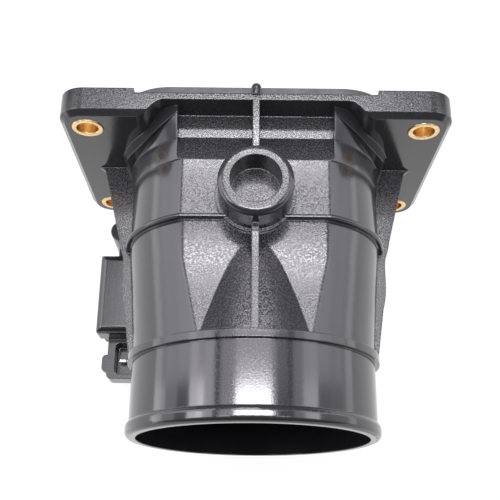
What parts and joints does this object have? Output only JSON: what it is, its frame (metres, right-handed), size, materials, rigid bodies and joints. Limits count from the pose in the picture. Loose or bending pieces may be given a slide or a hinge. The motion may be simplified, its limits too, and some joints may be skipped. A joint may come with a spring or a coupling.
{
  "type": "mass airflow sensor",
  "caption": "Flanged duct with a hose bead, a honeycomb inlet, a vortex column and an electronics tray with a plug socket; it measures air drawn in.",
  "frame": {"origin": "centre of the flange's mounting face, on the flow axis", "axes": "+X across the flange, +Y out of the inlet along the flow axis, +Z away from the electronics cover"},
  "size_m": [0.1244, 0.1062, 0.0924],
  "materials": {
    "body_plastic": "dark glass-filled moulding, fine grain",
    "cover_plastic": "satin",
    "frame_plastic": "satin",
    "seal_rubber": "moulded rubber",
    "grid_metal": "bare foil",
    "bush_brass": "turned, lightly dulled",
    "screw_steel": "zinc plated",
    "terminal_tin": "tin plated",
    "board": "solder mask",
    "chip": "moulded package",
    "sensor_case": "moulded package",
    "sensor_bead": "resin-dipped bead",
    "vent": "porous membrane"
  },
  "bodies": {
    "root": {"main_body": "body_plastic", "inlet_seal": "seal_rubber", "grid_frame": "frame_plastic", "flow_grid": "grid_metal", "vortex_column": "frame_plastic", "vortex_sensor": "sensor_case", "temperature_sensor": "sensor_bead", "temperature_guard": "frame_plastic", "circuit_board": "board", "control_ic": "chip", "barometric_sensor": "sensor_case", "board_parts": "chip", "cover_seal": "seal_rubber", "electronics_cover": "cover_plastic", "vent_membrane": "vent", "flange_bush_1": "bush_brass", "cover_screw_1": "screw_steel", "flange_bush_2": "bush_brass", "cover_screw_2": "screw_steel", "flange_bush_3": "bush_brass", "cover_screw_3": "screw_steel", "flange_bush_4": "bush_brass", "cover_screw_4": "screw_steel", "terminal_blade_1": "terminal_tin", "terminal_blade_2": "terminal_tin", "terminal_blade_3": "terminal_tin"}
  },
  "joints": []
}
